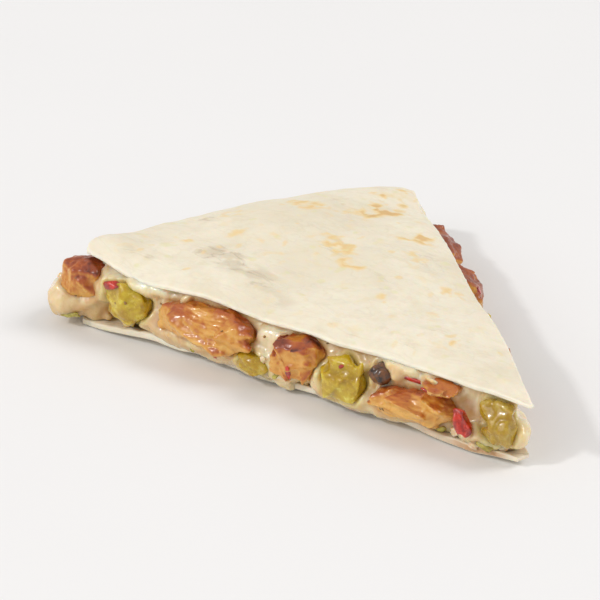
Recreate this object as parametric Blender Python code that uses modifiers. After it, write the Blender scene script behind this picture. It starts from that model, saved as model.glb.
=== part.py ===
"""One wedge of a chicken and green chile quesadilla, lying flat: two flour tortillas with melted
cheese between them, and the chicken and pepper pieces that show at its three open sides.

Metres, +Z up. The long cut side that shows most faces -Y, with the tip of the wedge at +X. The origin is
at the centre of the bounding box's bottom face.
"""

import math

import bmesh
import bpy
from mathutils import Matrix, Vector, noise
from mathutils.bvhtree import BVHTree

MM = 0.001

# Driving dimensions
TORTILLA_RADIUS = 127 * MM  # a 10 inch flour tortilla
WEDGE_ANGLE = math.radians(45)  # a folded half moon cut in four
TORTILLA_THICKNESS = 2 * MM
FILLING_DEPTH = 14.5 * MM  # between the tortillas, at the middle of the wedge
FIT_GAP = 0.3 * MM  # between pieces that touch
SLIVER = 0.005 * MM  # faces narrower than this are left out of the filling

# The tortillas
TIP_BLUNTNESS = 2.5 * MM  # distance of the blunt tip from the circle's centre
CORNER_TRIM = 3.5 * MM  # how far each outer corner is rounded off
CORNER_WIDTH = 11 * MM
RIM_WIDTH = 17 * MM  # the band along the edges where the top sheet eases down
RIM_DROP = 1.5 * MM
TIP_DROP = 0.6 * MM
TIP_REACH = 22 * MM
CURL_WIDTH = 9 * MM  # the band along the edges where the bottom sheet lifts off the table
CURL_HEIGHT = 1.5 * MM
EDGE_WANDER = 1.0 * MM  # unevenness of the knife cuts and of the rim
BOTTOM_MARGIN = 0.6 * MM  # the bottom sheet stands out this far past the top one
TOP_CELLS = (24, 12)  # grid cells along and across the wedge
BOTTOM_CELLS = (20, 9)

# Swells of the top sheet over what is under it: distance from the tip, angle in degrees, height, spread
SWELLS = (
    (124 * MM, 2, 4.2 * MM, 12 * MM),
    (92 * MM, 6, 1.5 * MM, 13 * MM),
    (60 * MM, 6, 0.9 * MM, 9 * MM),
    (38 * MM, 9, 0.8 * MM, 9 * MM),
    (104 * MM, 24, 1.4 * MM, 15 * MM),
    (74 * MM, 31, 1.3 * MM, 12 * MM),
    (113 * MM, 41, -1.3 * MM, 13 * MM),
    (78 * MM, 17, -1.2 * MM, 10 * MM),
    (48 * MM, 36, -0.8 * MM, 9 * MM),
)

# The filling
FILLING_INSET = 1.6 * MM  # back from the top sheet's edge, where it meets the tortillas
FILLING_BULGE = 3.0 * MM  # out from there, half way up
BULGE_WANDER = 1.5 * MM
FILLING_TIP = 6 * MM
FILLING_CELLS = (22, 9, 4)
# Lobes where the cheese has run out: distance round the edge from the tip, reach, half width, height share
LOBES = (
    (127 * MM, 6.0 * MM, 11 * MM, 0.34),
    (80 * MM, 1.8 * MM, 8 * MM, 0.25),
    (178 * MM, 2.2 * MM, 6 * MM, 0.30),
    (219 * MM, 1.8 * MM, 6 * MM, 0.40),
    (281 * MM, 2.6 * MM, 9 * MM, 0.35),
)

FRONT_END = TORTILLA_RADIUS
RIM_END = FRONT_END + TORTILLA_RADIUS * WEDGE_ANGLE
BACK_END = RIM_END + TORTILLA_RADIUS

COLOURS = {
    "tortilla_top": (0.86, 0.77, 0.59),
    "tortilla_bottom": (0.84, 0.73, 0.53),
    "cheese": (0.66, 0.50, 0.28),
    "chicken": (0.60, 0.28, 0.09),
    "chile": (0.50, 0.33, 0.06),
    "red_pepper": (0.55, 0.05, 0.02),
    "charred": (0.10, 0.04, 0.02),
}


def material(name):
    """The Principled material of that colour, made once."""
    found = bpy.data.materials.get(name)
    if found:
        return found
    made = bpy.data.materials.new(name)
    made.use_nodes = True
    shader = made.node_tree.nodes["Principled BSDF"]
    shader.inputs["Base Color"].default_value = (*COLOURS[name], 1)
    shader.inputs["Roughness"].default_value = 0.5
    shader.inputs["Metallic"].default_value = 0
    return made


# Places on the wedge, before it is centred: the tip is at the origin and the front side runs along -X


def plan(radius, angle):
    return Vector((-radius * math.cos(angle), radius * math.sin(angle), 0))


def polar(point):
    return math.hypot(point.x, point.y), math.atan2(point.y, -point.x)


def edge_place(distance):
    """Point, tangent and outward normal at a distance round the edge, which starts at the tip and runs
    along the front side, the rim and the back side."""
    if distance < FRONT_END:
        angle, radius = 0, distance
    elif distance < RIM_END:
        angle, radius = (distance - FRONT_END) / TORTILLA_RADIUS, TORTILLA_RADIUS
    else:
        angle, radius = WEDGE_ANGLE, BACK_END - distance
    outward = Vector((-math.cos(angle), math.sin(angle), 0))
    sideways = Vector((math.sin(angle), math.cos(angle), 0))
    if distance < FRONT_END:
        return plan(radius, angle), outward, -sideways
    if distance < RIM_END:
        return plan(radius, angle), sideways, outward
    return plan(radius, angle), -outward, sideways


def edge_distance(point):
    """How far inside the wedge's edge a point lies, or 0 outside it."""
    radius, angle = polar(point)
    front = radius * math.sin(angle)
    back = radius * math.sin(WEDGE_ANGLE - angle)
    return max(0, min(front, back, TORTILLA_RADIUS - radius))


def wander(distance, seed, wavelength):
    """A smooth uneven value between about -1 and 1 along the edge."""
    return 1.6 * noise.noise(Vector((distance / wavelength, 7.3 * seed, 0.5)))


def jitter(place, seed):
    """A smooth uneven offset, each way between about -1 and 1."""
    return Vector([noise.noise(place + Vector((5.1 * seed, 17.7 * axis, 0))) for axis in range(3)])


def eased(share):
    """1 at share 0, falling smoothly to 0 at share 1 and beyond."""
    return (1 - min(1, share)) ** 2


def ceiling(point):
    """Height of the top tortilla's underside."""
    height = TORTILLA_THICKNESS + FILLING_DEPTH
    height -= RIM_DROP * eased(edge_distance(point) / RIM_WIDTH)
    height -= TIP_DROP * eased(polar(point)[0] / TIP_REACH)
    for radius, degrees, rise, spread in SWELLS:
        away = (point.xy - plan(radius, math.radians(degrees)).xy).length / spread
        height += rise * math.exp(-away * away)
    radius, angle = polar(point)
    ripple = wander(radius + 60 * MM * angle, 4, 19 * MM)
    return height + 0.7 * MM * ripple * eased(edge_distance(point) / RIM_WIDTH)


def curl(point):
    """How far the bottom tortilla's underside lifts off the table near its edge."""
    share = edge_distance(point) / CURL_WIDTH
    wave = 0.5 + 0.5 * math.sin(point.x / (9 * MM) + point.y / (12 * MM))
    return CURL_HEIGHT * wave * eased(share)


def edge_point(along, across, margin, seed):
    """Where grid shares 0 to 1 along and across the wedge fall on a sheet, with uneven edges."""
    angle = across * WEDGE_ANGLE
    rim = TORTILLA_RADIUS + EDGE_WANDER * wander(angle * TORTILLA_RADIUS, seed, 17 * MM)
    from_corner = TORTILLA_RADIUS * min(angle, WEDGE_ANGLE - angle)
    rim -= CORNER_TRIM * eased(from_corner / CORNER_WIDTH)
    radius = TIP_BLUNTNESS + along * (rim - TIP_BLUNTNESS)
    width = 1 - eased(radius / TIP_REACH)
    margin *= width
    sway = EDGE_WANDER * width * wander(radius, seed + 1, 23 * MM)
    point = plan(radius + margin * along**6, angle)
    point += edge_place(0)[2] * (margin + sway) * (1 - across) ** 3
    return point + edge_place(BACK_END)[2] * (margin - sway) * across**3


# Building blocks


def new_object(name, bm, colour, collection):
    mesh = bpy.data.meshes.new(name)
    bm.to_mesh(mesh)
    bm.free()
    obj = bpy.data.objects.new(name, mesh)
    mesh.materials.append(material(colour))
    collection.objects.link(obj)
    return obj


def baked(obj):
    """Replaces an object's mesh with its evaluated one, so that its modifiers are in the mesh."""
    graph = bpy.context.evaluated_depsgraph_get()
    obj.data = bpy.data.meshes.new_from_object(obj.evaluated_get(graph))
    obj.modifiers.clear()
    return obj


def block(cells):
    """A cube of side 1 from corner (0, 0, 0), with each axis cut into that many cells."""
    bm = bmesh.new()
    bmesh.ops.create_cube(bm, size=1, matrix=Matrix.Translation((0.5, 0.5, 0.5)))
    for axis, count in enumerate(cells):
        if count < 2:
            continue
        edges = [
            edge
            for edge in bm.edges
            if abs(edge.verts[0].co[axis] - edge.verts[1].co[axis]) > 0.5
        ]
        bmesh.ops.subdivide_edges(bm, edges=edges, cuts=count - 1, use_grid_fill=True)
    return bm


def tortilla(name, height_at, cells, margin, seed, collection):
    """A sheet whose underside follows height_at, thickened upwards."""
    bm = bmesh.new()
    bmesh.ops.create_grid(bm, x_segments=cells[0], y_segments=cells[1], size=0.5)
    for vertex in bm.verts:
        place = edge_point(vertex.co.x + 0.5, vertex.co.y + 0.5, margin, seed)
        place.z = height_at(place)
        vertex.co = place
    bmesh.ops.recalc_face_normals(bm, faces=bm.faces)
    if sum((face.normal.z for face in bm.faces)) < 0:
        bmesh.ops.reverse_faces(bm, faces=bm.faces)
    obj = new_object(name, bm, name, collection)
    shell = obj.modifiers.new("thickness", "SOLIDIFY")
    shell.thickness = TORTILLA_THICKNESS
    shell.offset = 1
    return obj


def filling_overhang(distance, share_up):
    """How far the filling's side stands out past the top tortilla's edge, at a share of its height."""
    roundness = math.sin(math.pi * share_up) ** 0.7
    reach = FILLING_BULGE + BULGE_WANDER * wander(distance, 9, 14 * MM)
    for centre, lobe_reach, half_width, lobe_height in LOBES:
        away = (distance - centre) / half_width
        low = (share_up - lobe_height) / 0.5
        reach += lobe_reach * math.exp(-away * away - low * low)
    return reach * roundness - FILLING_INSET


class Gap:
    """The space between the two tortillas."""

    def __init__(self, bottom, top):
        graph = bpy.context.evaluated_depsgraph_get()
        self.bottom = BVHTree.FromObject(bottom, graph)
        self.top = BVHTree.FromObject(top, graph)

    def limits(self, point, clearance):
        """The heights between the sheets at a point or, outside them, between their nearest edges."""
        middle = Vector((point.x, point.y, TORTILLA_THICKNESS + FILLING_DEPTH / 2))
        below = self.bottom.ray_cast(middle, Vector((0, 0, -1)))[0]
        above = self.top.ray_cast(middle, Vector((0, 0, 1)))[0]
        low = (below or self.bottom.find_nearest(middle)[0]).z
        high = (above or self.top.find_nearest(middle)[0]).z
        return low + clearance, high - clearance

    def pressed(self, point, clearance):
        """The point, with its height eased in between the tortillas."""
        low, high = self.limits(point, clearance)
        half = (high - low) / 2
        share = (point.z - low) / half - 1
        share /= (1 + share**6) ** (1 / 6)
        return Vector((point.x, point.y, low + half * (1 + share)))


def filling_point(along, across, up, gap):
    """Where a point of the unit block falls on the filling."""
    angle = across * WEDGE_ANGLE
    radius = FILLING_TIP + along * (TORTILLA_RADIUS - FILLING_TIP)
    from_corner = TORTILLA_RADIUS * min(angle, WEDGE_ANGLE - angle)
    radius -= 2 * along * CORNER_TRIM * eased(from_corner / CORNER_WIDTH)
    point = plan(radius, angle)
    sides = (
        (1 - across, radius),
        (along**8, FRONT_END + TORTILLA_RADIUS * angle),
        (across, BACK_END - radius),
    )
    shift = Vector()
    for weight, distance in sides:
        shift += weight * filling_overhang(distance, up) * edge_place(distance)[2]
    point += shift
    low, high = gap.limits(point, 2 * FIT_GAP)
    point.z = low + up * (high - low)
    return point


def filling_block(gap, collection):
    bm = block(FILLING_CELLS)
    for vertex in bm.verts:
        vertex.co = filling_point(*vertex.co, gap)
    bmesh.ops.recalc_face_normals(bm, faces=bm.faces)
    return new_object("filling", bm, "cheese", collection)


class Morsel:
    """A piece in the filling: its place round the edge, its height, how deep its middle is set in from
    the edge, its size along the edge, outwards and upwards, and how it is turned, in degrees."""

    def __init__(self, name, colour, distance, height, inset, size, turn=0, tilt=0, bend=0):
        self.name = name
        self.colour = colour
        self.distance = distance * MM
        self.height = height * MM
        self.inset = inset * MM
        self.size = Vector(size) * MM
        self.turn = math.radians(turn)
        self.tilt = math.radians(tilt)
        self.bend = bend

    def matrix(self):
        point, tangent, normal = edge_place(self.distance)
        axes = Matrix((tangent, normal, Vector((0, 0, 1)))).transposed().to_4x4()
        place = Matrix.Translation(point - normal * self.inset + Vector((0, 0, self.height)))
        turned = Matrix.Rotation(self.turn, 4, "Z") @ Matrix.Rotation(self.tilt, 4, "Y")
        return place @ axes @ turned

    def build(self, seed, gap, collection):
        """A coarse uneven cage, rounded by subdivision, then pressed between the tortillas."""
        bm = block(MORSEL_CELLS[self.colour])
        for vertex in bm.verts:
            share = 2 * (vertex.co - Vector((0.5, 0.5, 0.5)))
            share *= 1.12 - 0.13 * share.length_squared
            share += 0.3 * jitter(1.3 * share, seed + 1)
            share.z += self.bend * (share.x * share.x - 0.5)
            vertex.co = 0.5 * share * self.size
        obj = new_object(self.name, bm, self.colour, collection)
        obj.modifiers.new("rounded", "SUBSURF").levels = 1
        obj.modifiers["rounded"].render_levels = 1
        baked(obj)
        matrix = self.matrix()
        for vertex in obj.data.vertices:
            vertex.co = gap.pressed(matrix @ vertex.co, 2.5 * FIT_GAP)
        return obj


def at_back(from_tip):
    """Distance round the edge, in millimetres, of a place on the back side that far from the tip."""
    return BACK_END / MM - from_tip


def at_rim(from_front_corner):
    return FRONT_END / MM + from_front_corner


MORSEL_CELLS = {
    "chicken": (2, 2, 2),
    "chile": (2, 1, 2),
    "red_pepper": (2, 1, 2),
    "charred": (2, 2, 1),
}
MORSELS = (
    # the front side, from the outer corner to the tip
    Morsel("chicken_front_corner", "chicken", 124, 12.6, 0.2, (11.5, 9.5, 16), 20, -8),
    Morsel("chile_front_outer", "chile", 109.6, 10.6, -0.9, (15.5, 6, 14), 4, 8, 0.3),
    Morsel("chicken_front_long", "chicken", 86.3, 10.8, 0.9, (33.5, 12, 12.2), -4, 8, -0.1),
    Morsel("chile_front_small", "chile", 72.3, 5.6, -1.2, (11.5, 5.5, 6.5), 0, -6, 0.2),
    Morsel("chicken_front_middle", "chicken", 60, 10.8, 0.2, (12.5, 10, 13), 5, -14),
    Morsel("chile_front_middle", "chile", 47.6, 8.8, -0.7, (14, 6.5, 15), -8, 4, 0.25),
    Morsel("charred_bit", "charred", 37.8, 13, -0.6, (7.5, 6.5, 7.5)),
    Morsel("chicken_front_inner", "chicken", 29.4, 7, 0.4, (25, 11, 8.8), 6, 6),
    Morsel("chicken_front_roof", "chicken", 23.2, 13.7, 0.4, (11, 7, 4.2), 0, 4),
    Morsel("red_pepper_front", "red_pepper", 15.6, 8.6, -2.2, (6, 4.5, 7.5), 0, 35, 0.2),
    Morsel("chile_front_tip", "chile", 8, 9.4, 0, (10.5, 6, 12.5), -12, 0, 0.2),
    # the rim, from the front corner to the back one
    Morsel("chile_rim", "chile", at_rim(16), 10.2, -2.2, (10, 6, 9), 0, -8, 0.3),
    Morsel("chicken_rim_front", "chicken", at_rim(35), 8.8, 0.4, (26, 12, 10), 3, 4),
    Morsel("chicken_rim_back", "chicken", at_rim(65), 9.2, 0.4, (25, 12, 10), -5, -5),
    Morsel("chile_rim_back", "chile", at_rim(84), 9.5, -1.6, (8, 6, 8), 0, 10, 0.3),
    # the back side, from the outer corner to the tip
    Morsel("chicken_back_outer", "chicken", at_back(99), 9.4, 1.6, (29, 12, 11), 5, -6),
    Morsel("chicken_back_middle", "chicken", at_back(71), 9.2, 0.8, (18, 11, 11), 0, 8),
    Morsel("chile_back_outer", "chile", at_back(54.5), 9.6, 0.2, (12, 6, 9), 0, 6, 0.3),
    Morsel("chile_back_inner", "chile", at_back(43), 6.6, 0.0, (9, 6, 8), 6, -8, 0.2),
    Morsel("chicken_back_inner", "chicken", at_back(27), 8.4, 1.6, (19, 9, 10), 5, 8),
)


def cutter_for(obj, collection):
    """A helper a gap's width larger than the piece, which makes its socket in the filling."""
    bm = bmesh.new()
    bm.from_mesh(obj.data)
    bm.normal_update()
    grown = [vertex.co + vertex.normal * FIT_GAP * 1.3 for vertex in bm.verts]
    for vertex, place in zip(bm.verts, grown):
        vertex.co = place
    cutter = new_object(obj.name + "_socket", bm, "cheese", collection)
    cutter.hide_render = True
    cutter.display_type = "WIRE"
    return cutter


def keep_largest_body(obj):
    """Removes slivers, and crumbs that the sockets cut loose from the filling."""
    bm = bmesh.new()
    bm.from_mesh(obj.data)
    bmesh.ops.remove_doubles(bm, verts=bm.verts, dist=SLIVER)
    bmesh.ops.triangulate(bm, faces=bm.faces)
    unseen, bodies = set(bm.faces), []
    while unseen:
        body, front = set(), [unseen.pop()]
        while front:
            face = front.pop()
            body.add(face)
            walls = [edge for edge in face.edges if len(edge.link_faces) == 2]
            near = {other for edge in walls for other in edge.link_faces} & unseen
            unseen -= near
            front.extend(near)
        bodies.append(body)
    largest = max(bodies, key=len)
    loose = [face for face in bm.faces if face not in largest]
    bmesh.ops.delete(bm, geom=loose, context="FACES")
    bm.to_mesh(obj.data)
    bm.free()


def filling(morsels, gap, collection, cutters):
    """The cheese, with a socket for every other piece."""
    obj = filling_block(gap, collection)
    for morsel in morsels:
        cutter_for(morsel, cutters)
    sockets = obj.modifiers.new("sockets", "BOOLEAN")
    sockets.operation = "DIFFERENCE"
    sockets.operand_type = "COLLECTION"
    sockets.collection = cutters
    bpy.context.view_layer.update()
    keep_largest_body(baked(obj))
    return obj


def centre_on_base(objects):
    """Moves the meshes so that the origin is at the centre of the bounding box's bottom face."""
    graph = bpy.context.evaluated_depsgraph_get()
    corners = [Vector(c) for obj in objects for c in obj.evaluated_get(graph).bound_box]
    low = Vector([min(c[axis] for c in corners) for axis in range(3)])
    high = Vector([max(c[axis] for c in corners) for axis in range(3)])
    shift = Vector((-(low.x + high.x) / 2, -(low.y + high.y) / 2, -low.z))
    for obj in objects:
        obj.data.transform(Matrix.Translation(shift))


def main():
    for obj in list(bpy.data.objects):
        bpy.data.objects.remove(obj)
    wedge = bpy.data.collections.new("quesadilla_wedge")
    cutters = bpy.data.collections.new("cutters")
    for collection in (wedge, cutters):
        bpy.context.scene.collection.children.link(collection)
    bottom = tortilla("tortilla_bottom", curl, BOTTOM_CELLS, BOTTOM_MARGIN, 1, wedge)
    top = tortilla("tortilla_top", ceiling, TOP_CELLS, 0, 3, wedge)
    gap = Gap(bottom, top)
    morsels = [morsel.build(seed, gap, wedge) for seed, morsel in enumerate(MORSELS)]
    filling(morsels, gap, wedge, cutters)
    bpy.context.view_layer.update()
    centre_on_base(list(wedge.objects))


main()
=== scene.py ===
"""Looks for one wedge of chicken and green chile quesadilla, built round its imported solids."""

import math

import bmesh
import bpy
import numpy as np
from mathutils import Matrix, Vector, noise
from mathutils.bvhtree import BVHTree
from mathutils.kdtree import KDTree


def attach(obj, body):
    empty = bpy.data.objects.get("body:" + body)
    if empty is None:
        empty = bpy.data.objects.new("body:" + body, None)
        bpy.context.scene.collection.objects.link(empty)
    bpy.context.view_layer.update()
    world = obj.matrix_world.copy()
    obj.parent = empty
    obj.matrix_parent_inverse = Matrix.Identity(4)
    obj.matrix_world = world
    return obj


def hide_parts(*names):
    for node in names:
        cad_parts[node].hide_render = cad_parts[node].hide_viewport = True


MM = 0.001
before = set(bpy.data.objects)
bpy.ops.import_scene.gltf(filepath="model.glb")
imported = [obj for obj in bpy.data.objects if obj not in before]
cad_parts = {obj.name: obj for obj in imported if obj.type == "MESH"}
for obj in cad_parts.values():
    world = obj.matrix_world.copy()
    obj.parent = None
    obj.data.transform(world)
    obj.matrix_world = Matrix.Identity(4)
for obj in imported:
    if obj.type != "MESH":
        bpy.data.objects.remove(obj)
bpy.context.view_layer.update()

# The wedge's plan, as in the solids: the tip is at the local origin and the front side runs along -X
# APEX is where that origin lies in the frame
APEX = Vector((68.613, -40.969, 0)) * MM
RADIUS = 127 * MM
ANGLE = math.radians(45)
THICKNESS = 2 * MM
DEPTH = 14.5 * MM
CORNER_TRIM = 3.5 * MM
CORNER_WIDTH = 11 * MM
RIM_WIDTH = 17 * MM
RIM_DROP = 1.5 * MM
TIP_DROP = 0.6 * MM
TIP_REACH = 22 * MM
CURL_WIDTH = 9 * MM
CURL_HEIGHT = 1.5 * MM
EDGE_WANDER = 1 * MM
BOTTOM_MARGIN = 0.6 * MM
FRONT_END = RADIUS
RIM_END = FRONT_END + RADIUS * ANGLE
BACK_END = RIM_END + RADIUS
# Rises and dips of the top: millimetres from the tip, degrees from the front side, height, width
SWELLS = (
    (124, 2, 4.2, 12),
    (92, 6, 1.5, 13),
    (60, 6, 0.9, 9),
    (38, 9, 0.8, 9),
    (104, 24, 1.4, 15),
    (74, 31, 1.3, 12),
    (113, 41, -1.3, 13),
    (78, 17, -1.2, 10),
    (48, 36, -0.8, 9),
)


def plan(radius, angle):
    """The point at a distance from the tip and an angle from the front side."""
    return Vector((-radius * math.cos(angle), radius * math.sin(angle), 0))


def polar(x, y):
    return math.hypot(x, y), math.atan2(y, -x)


def edge_place(distance):
    """Point, tangent and outward normal at a distance round the edge: front side, rim, back side."""
    angle = min(max((distance - FRONT_END) / RADIUS, 0), ANGLE)
    point = plan(min(distance, RADIUS, BACK_END - distance), angle)
    outward = plan(1, angle)
    sideways = Vector((math.sin(angle), math.cos(angle), 0))
    if distance < FRONT_END:
        return point, outward, -sideways
    if distance < RIM_END:
        return point, sideways, outward
    return point, -outward, sideways


def edge_distances(x, y):
    """How far in from the nearest side or the rim each point is, below 0 outside the wedge."""
    back = -x * math.sin(ANGLE) - y * math.cos(ANGLE)
    return np.minimum(np.minimum(y, back), RADIUS - np.hypot(x, y))


def wander(distance, seed, wavelength):
    """A slow, uneven wave along an edge."""
    return 1.6 * noise.noise(Vector((distance / wavelength, 7.3 * seed, 0.5)))


def eased(share):
    """1 at a share of 0, falling smoothly to 0 at a share of 1."""
    return (1 - np.clip(share, 0, 1)) ** 2


def ceiling(x, y):
    """Height of the top tortilla's underside."""
    radius, angle = polar(x, y)
    rim = eased(edge_distances(x, y) / RIM_WIDTH)
    height = THICKNESS + DEPTH - RIM_DROP * rim - TIP_DROP * eased(radius / TIP_REACH)
    for far, degrees, rise, spread in SWELLS:
        centre = plan(far * MM, math.radians(degrees))
        away = math.hypot(x - centre.x, y - centre.y) / (spread * MM)
        height += rise * MM * math.exp(-away * away)
    return height + 0.7 * MM * rim * wander(radius + 60 * MM * angle, 4, 19 * MM)


def curl(x, y):
    """How far the bottom tortilla's underside lifts off the table near its edge."""
    wave = 0.5 + 0.5 * math.sin(x / (9 * MM) + y / (12 * MM))
    return CURL_HEIGHT * wave * eased(edge_distances(x, y) / CURL_WIDTH)


def edge_point(along, across, margin, seed, tip):
    """A point of a tortilla's plan: its shares of the way out from the tip and round from the front."""
    angle = across * ANGLE
    rim = RADIUS + EDGE_WANDER * wander(angle * RADIUS, seed, 17 * MM)
    from_corner = RADIUS * min(angle, ANGLE - angle)
    rim -= CORNER_TRIM * eased(from_corner / CORNER_WIDTH)
    radius = tip + along * (rim - tip)
    width = 1 - eased(radius / TIP_REACH)
    margin *= width
    sway = EDGE_WANDER * width * wander(radius, seed + 1, 23 * MM)
    point = plan(radius + margin * along**6, angle)
    point += edge_place(0)[2] * (margin + sway) * (1 - across) ** 3
    return point + edge_place(BACK_END)[2] * (margin - sway) * across**3


# Arrays of points, and meshes made from them

NOISE_CELLS = 32
NOISE_GAIN = 1.3
LAYER_SHIFT = 11.7
LAYER_STEP = 2.03


class Noise:
    """Smooth repeatable noise, about -1 to 1, at arrays of points."""

    def __init__(self, seed):
        table = np.random.RandomState(seed).uniform(-1, 1, (NOISE_CELLS,) * 3)
        self.table = table.astype(np.float32)

    def __call__(self, points, wavelength):
        cell = points / wavelength
        base = np.floor(cell).astype(np.int64)
        part = cell - base
        part = part * part * part * (part * (6 * part - 15) + 10)
        sides = (1 - part).T, part.T
        total = np.zeros(len(points), np.float32)
        for corner in np.ndindex(2, 2, 2):
            x, y, z = [sides[high][axis] for axis, high in enumerate(corner)]
            total += x * y * z * self.table[tuple((base + corner).T % NOISE_CELLS)]
        return NOISE_GAIN * total

    def layered(self, points, wavelength, layers=3):
        total, size, norm = 0, 1, 0
        for layer in range(layers):
            total = total + size * self(points + LAYER_SHIFT * layer * wavelength, wavelength)
            norm += size
            size *= 0.5
            wavelength = wavelength / LAYER_STEP
        return total / norm


def smooth_min(a, b, width):
    """The lesser of two fields, with the step between them rounded off."""
    blend = np.clip(0.5 + 0.5 * (b - a) / width, 0, 1)
    return b + (a - b) * blend - width * blend * (1 - blend)


def smooth_max(a, b, width):
    return -smooth_min(-a, -b, width)


def ramp(low, high, value):
    """0 at low, 1 at high, smooth between them."""
    share = np.clip((value - low) / (high - low), 0, 1)
    return share * share * (3 - 2 * share)


def softened(field):
    """A field averaged a little with its neighbours along each axis in turn."""
    for axis in range(3):
        padded = np.pad(field, [(1, 1) if k == axis else (0, 0) for k in range(3)], mode="edge")
        before, after = [np.take(padded, np.arange(field.shape[axis]) + k, axis) for k in (0, 2)]
        field = 0.5 * field + 0.25 * (before + after)
    return field


def surface_net(field, step, origin):
    """The surface where a field on a grid is 0, with its inside negative: vertices and quads."""
    field = np.pad(field, 1, constant_values=1.0)
    origin = np.asarray(origin) - step
    cells = tuple(n - 1 for n in field.shape)
    total = np.zeros((np.prod(cells), 3))
    count = np.zeros(np.prod(cells))
    around = []
    for axis in range(3):
        low = [slice(None)] * 3
        high = [slice(None)] * 3
        low[axis], high[axis] = slice(None, -1), slice(1, None)
        first, second = field[tuple(low)], field[tuple(high)]
        edges = np.argwhere((first < 0) != (second < 0))
        a, b = first[tuple(edges.T)], second[tuple(edges.T)]
        crossing = edges.astype(float)
        crossing[:, axis] += a / (a - b)
        u, v = [(1, 2), (2, 0), (0, 1)][axis]
        corners = []
        for du, dv in ((1, 1), (0, 1), (0, 0), (1, 0)):
            cell = edges.copy()
            cell[:, u] -= du
            cell[:, v] -= dv
            index = np.ravel_multi_index(tuple(cell.T), cells)
            corners.append(index)
            for k in range(3):
                total[:, k] += np.bincount(index, crossing[:, k], len(total))
            count += np.bincount(index, minlength=len(count))
        quads = np.stack(corners, 1)
        quads[a >= 0] = quads[a >= 0][:, ::-1]
        around.append(quads)
    used = np.flatnonzero(count)
    renumber = np.zeros(len(count), np.int64)
    renumber[used] = np.arange(len(used))
    vertices = total[used] / count[used, None] * step + origin
    return vertices, renumber[np.concatenate(around)]


def mesh_of(name, vertices, faces):
    mesh = bpy.data.meshes.new(name)
    mesh.vertices.add(len(vertices))
    mesh.vertices.foreach_set("co", np.asarray(vertices, np.float32).ravel())
    size = faces.shape[1]
    mesh.loops.add(faces.size)
    mesh.loops.foreach_set("vertex_index", faces.astype(np.int32).ravel())
    mesh.polygons.add(len(faces))
    mesh.polygons.foreach_set("loop_start", np.arange(len(faces), dtype=np.int32) * size)
    mesh.update(calc_edges=True)
    mesh.validate()
    mesh.shade_smooth()
    return mesh


def read(items, key, width, kind=np.float32):
    """One property of a mesh's vertices, edges or corners, as rows of an array."""
    values = np.empty(len(items) * width, kind)
    items.foreach_get(key, values)
    return values.reshape(-1, width)


def positions(mesh):
    return read(mesh.vertices, "co", 3).astype(np.float64)


def normals(mesh):
    return read(mesh.vertex_normals, "vector", 3)


def set_positions(mesh, co):
    mesh.vertices.foreach_set("co", np.asarray(co, np.float32).ravel())
    mesh.update()


def relax(mesh, rounds):
    """Evens out a mesh by moving each vertex halfway to the mean of its neighbours."""
    a, b = read(mesh.edges, "vertices", 2, np.int32).T
    co = positions(mesh)
    near = np.bincount(a, minlength=len(co)) + np.bincount(b, minlength=len(co))
    for _ in range(rounds):
        mean = np.empty_like(co)
        for k in range(3):
            mean[:, k] = np.bincount(a, co[b, k], len(co)) + np.bincount(b, co[a, k], len(co))
        co += 0.5 * (mean / near[:, None] - co)
    set_positions(mesh, co)


def flat_points(x, y):
    return np.stack([x, y, np.zeros(len(x))], 1)


def paint(mesh, name, values):
    """Stores a number per vertex for the material to read."""
    layer = mesh.attributes.new(name, "FLOAT", "POINT")
    layer.data.foreach_set("value", np.asarray(values, np.float32))


def mesh_from(bm, name):
    mesh = bpy.data.meshes.new(name)
    bm.to_mesh(mesh)
    bm.free()
    return mesh


def shown_as(name, data):
    obj = bpy.data.objects.new(name, data)
    bpy.context.scene.collection.objects.link(obj)
    return obj


def evaluated(obj):
    """Turns an object's modifiers into plain mesh."""
    graph = bpy.context.evaluated_depsgraph_get()
    mesh = bpy.data.meshes.new_from_object(obj.evaluated_get(graph))
    old = obj.data
    obj.modifiers.clear()
    obj.data = mesh
    bpy.data.meshes.remove(old)
    return obj


def place(name, mesh, material, node=None):
    """Shows a mesh, made in the wedge's local frame, as a piece that rides on the wedge."""
    mesh.transform(Matrix.Translation(APEX))
    obj = shown_as(name, mesh)
    mesh.materials.clear()
    mesh.materials.append(material)
    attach(obj, "root")
    if node:
        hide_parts(node)
    return obj


class HeightMap:
    """A height function tabulated over the wedge, a millimetre apart, read at arrays of points."""

    def __init__(self, function):
        self.x = np.arange(-140, 12) * MM
        self.y = np.arange(-12, 104) * MM
        self.z = np.array([[function(x, y) for y in self.y] for x in self.x])

    def __call__(self, x, y):
        i = np.clip((x - self.x[0]) / MM, 0, len(self.x) - 1.001)
        j = np.clip((y - self.y[0]) / MM, 0, len(self.y) - 1.001)
        i0, j0 = i.astype(int), j.astype(int)
        u, v = i - i0, j - j0
        low = self.z[i0, j0] * (1 - v) + self.z[i0, j0 + 1] * v
        high = self.z[i0 + 1, j0] * (1 - v) + self.z[i0 + 1, j0 + 1] * v
        return low * (1 - u) + high * u


CEILING = HeightMap(ceiling)
FLOOR = HeightMap(lambda x, y: curl(x, y) + THICKNESS)


# Materials


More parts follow.
